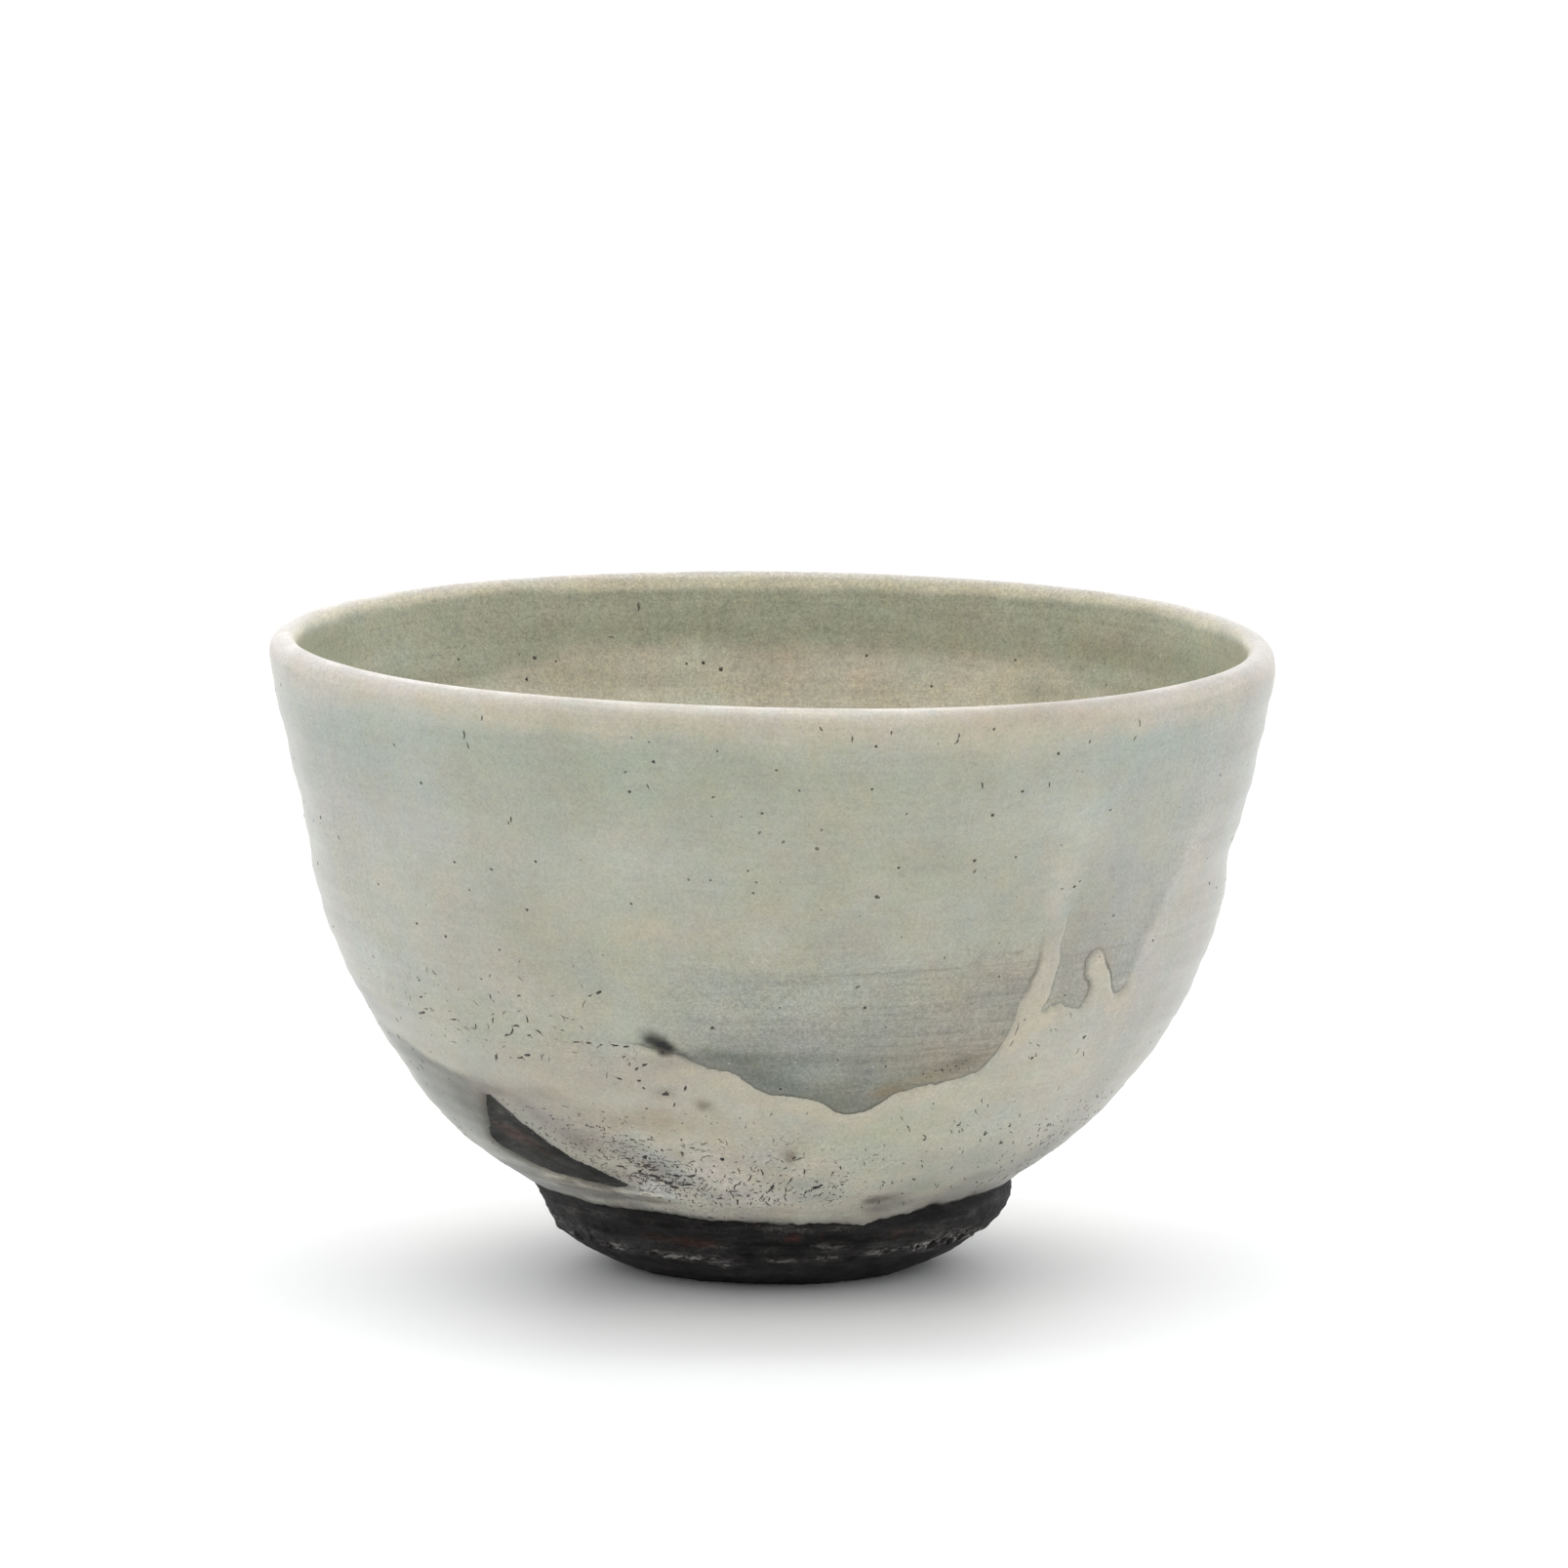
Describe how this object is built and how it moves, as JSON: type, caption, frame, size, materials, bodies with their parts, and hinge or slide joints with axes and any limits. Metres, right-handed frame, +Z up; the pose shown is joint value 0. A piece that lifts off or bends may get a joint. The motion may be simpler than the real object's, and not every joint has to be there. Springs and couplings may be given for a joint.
{
  "type": "matcha bowl",
  "caption": "Wheel-thrown stoneware matcha bowl with a rounded lip, glazed inside and out, a cream pour on the lower wall and a bare dark foot ring.",
  "frame": {"origin": "centre of the bottom of the bowl, on the surface that the foot ring stands on", "axes": "+Z up along the throwing axis, -Y towards the decorated front, +X to the right seen from the front"},
  "size_m": [0.12, 0.12, 0.0757],
  "materials": {
    "dark_clay": "bare fired stoneware, dark brown-black",
    "foot_clay": "bare trimmed stoneware, near black with red-brown patches",
    "inner_glaze": "satin glaze, green-grey near the lip, warm grey below, finely crazed",
    "outer_glaze": "satin glaze, pale grey-green with iron specks",
    "cream_slip": "satin cream slip with fine cracks and specks"
  },
  "bodies": {
    "root": {"clay_bowl": "dark_clay", "foot_ring": "foot_clay", "inner_glaze": "inner_glaze", "outer_glaze": "outer_glaze", "slip_pour": "cream_slip"}
  },
  "joints": []
}
